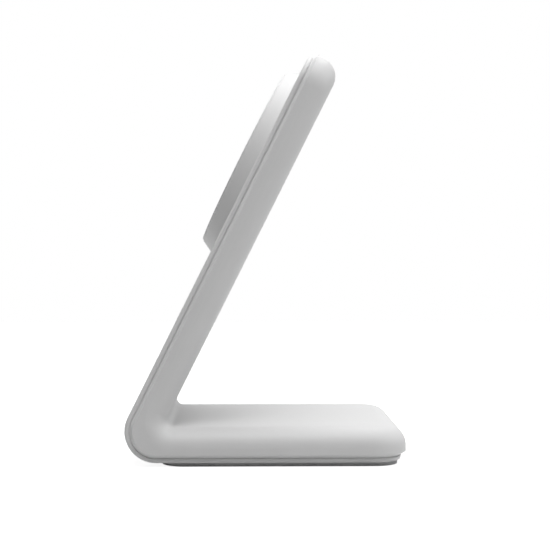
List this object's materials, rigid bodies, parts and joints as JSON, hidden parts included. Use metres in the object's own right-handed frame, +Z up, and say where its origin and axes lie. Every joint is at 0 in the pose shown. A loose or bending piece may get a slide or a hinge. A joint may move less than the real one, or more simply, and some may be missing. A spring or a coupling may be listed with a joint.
{
  "type": "magnetic wireless charging stand",
  "caption": "Bent L-shaped charging stand: a flat weighted base, a column leaning back over it, and a round tapered magnetic charging head on the column's front.",
  "frame": {"origin": "bottom centre of the stand's box, on the foot's underside", "axes": "+X across the stand, +Y from the column towards the base's rear end, +Z up; the charging head faces -Y and up"},
  "size_m": [0.07, 0.0838, 0.1219],
  "materials": {
    "shell": "fine matt white moulded plastic",
    "soft_pad": "soft-touch white silicone",
    "foot_rubber": "matt grey rubber",
    "adhesive": "double-sided tape",
    "bright_steel": "plated steel",
    "black_plastic": "black moulded plastic",
    "contact_gold": "gold plated",
    "ferrite": "dark sintered ferrite",
    "copper": "enamelled copper wire",
    "magnet_plating": "nickel plated magnet",
    "red_silicone": "red lead insulation",
    "black_silicone": "black lead insulation",
    "plug_plastic": "natural nylon",
    "board_green": "green solder mask",
    "thermal_silicone": "blue-grey thermal pad",
    "capacitor_tan": "ceramic",
    "ballast_steel": "zinc plated mild steel"
  },
  "bodies": {
    "root": {"rear_housing": "shell", "front_cover": "shell", "head_housing": "shell", "face_pad": "soft_pad", "foot_pad": "foot_rubber", "foot_adhesive": "adhesive", "usb_shell": "bright_steel", "usb_tongue": "black_plastic", "usb_contacts": "contact_gold", "coil_tray": "black_plastic", "ferrite_disc": "ferrite", "charging_coil": "copper", "magnet_yoke": "bright_steel", "ring_magnets": "magnet_plating", "thermistor": "black_plastic", "coil_leads": "red_silicone", "sensor_lead": "black_silicone", "lead_plug": "plug_plastic", "circuit_board": "board_green", "controller_chip": "black_plastic", "thermal_pad": "thermal_silicone", "power_inductor": "ferrite", "power_transistors": "black_plastic", "capacitors": "capacitor_tan", "ballast_plate": "ballast_steel", "ballast_tape": "adhesive", "head_screws": "bright_steel", "board_screws": "bright_steel", "cover_screws": "bright_steel"}
  },
  "joints": []
}
